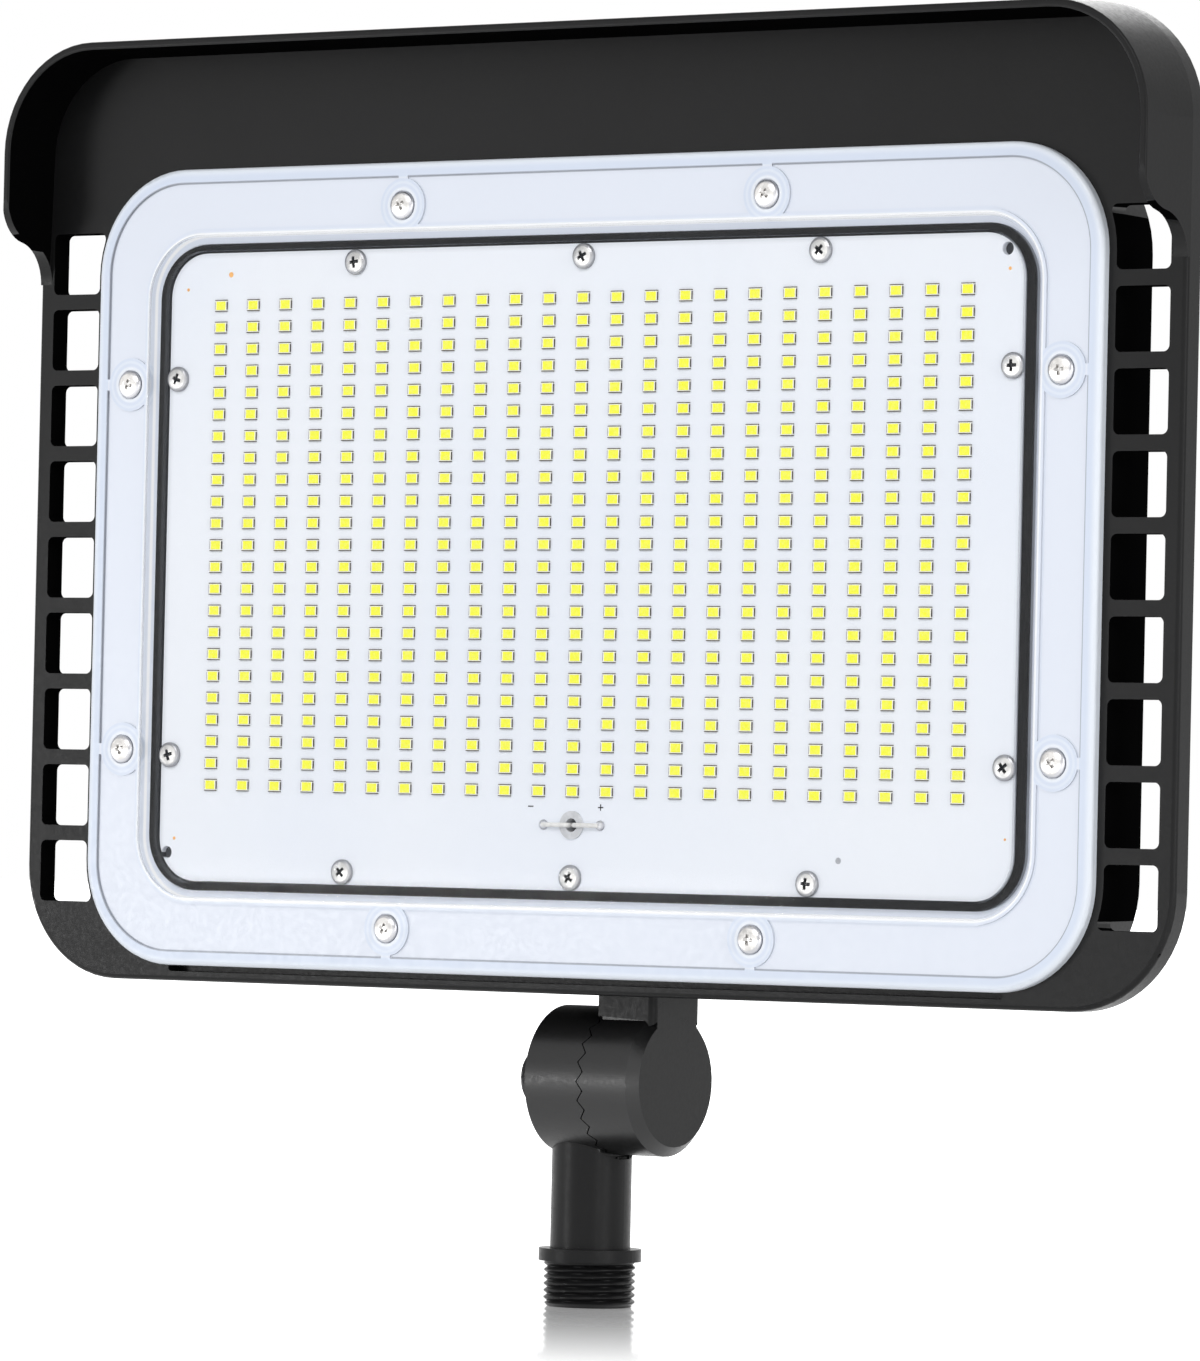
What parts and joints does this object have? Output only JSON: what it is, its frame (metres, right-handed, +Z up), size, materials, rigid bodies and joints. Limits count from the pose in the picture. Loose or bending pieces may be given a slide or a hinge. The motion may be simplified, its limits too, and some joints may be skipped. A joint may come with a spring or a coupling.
{
  "type": "led flood light",
  "caption": "Black cast flood light with a hood, side ladders of windows, a clear lens over a lit panel, a rear driver box and a toothed knuckle on a threaded stem.",
  "frame": {"origin": "on the stem's axis, at the underside of the collar, where the stem seats on a box or cover", "axes": "+Z up along the stem, the lens looks along -Y, +X to the viewer's right and along the knuckle's pivot"},
  "size_m": [0.324, 0.0667, 0.2983],
  "materials": {
    "casting": "black powder coat, semi-matte",
    "lens_plastic": "clear window, frosted flange",
    "gasket_rubber": "matte",
    "screw_steel": "bright",
    "board_white": "white solder mask",
    "package_yellow": "yellow phosphor in a white frame",
    "pad_grey": "matte",
    "grommet_grey": "matte",
    "lead_white": "satin",
    "solder": "bright",
    "driver_black": "satin"
  },
  "bodies": {
    "stem": {"lower_knuckle": "casting", "knuckle_seal": "gasket_rubber"},
    "clamp": {"knuckle_flat_washer": "screw_steel", "knuckle_spring_washer": "screw_steel"},
    "bolt": {"knuckle_bolt": "screw_steel"},
    "head": {"housing": "casting", "lens": "lens_plastic", "lens_gasket": "gasket_rubber", "lens_screws": "screw_steel", "led_board": "board_white", "led_packages": "package_yellow", "board_screws": "screw_steel", "thermal_pad": "pad_grey", "wire_grommet": "grommet_grey", "led_lead_positive": "lead_white", "led_lead_negative": "lead_white", "solder_joints": "solder", "driver": "driver_black", "driver_screws": "screw_steel", "earth_screw": "screw_steel", "driver_cover_gasket": "gasket_rubber", "driver_cover": "casting", "driver_cover_screws": "screw_steel"}
  },
  "joints": [
    {"name": "tilt", "type": "hinge", "parent": "stem", "child": "clamp", "pos_m": [0.0076, 0, 0.0423], "axis": [1, 0, 0], "range_deg": [-90, 90]},
    {"name": "release", "type": "slide", "parent": "clamp", "child": "head", "axis": [1, 0, 0], "range_m": [0, 0.0015]},
    {"name": "bolt_turn", "type": "hinge", "parent": "clamp", "child": "bolt", "pos_m": [0.0076, 0, 0.0423], "axis": [-1, 0, 0], "range_deg": [0, 432]}
  ],
  "couplings": [
    {"joint": "bolt_turn", "follows": "release", "rad_per_m": 5026.5}
  ]
}
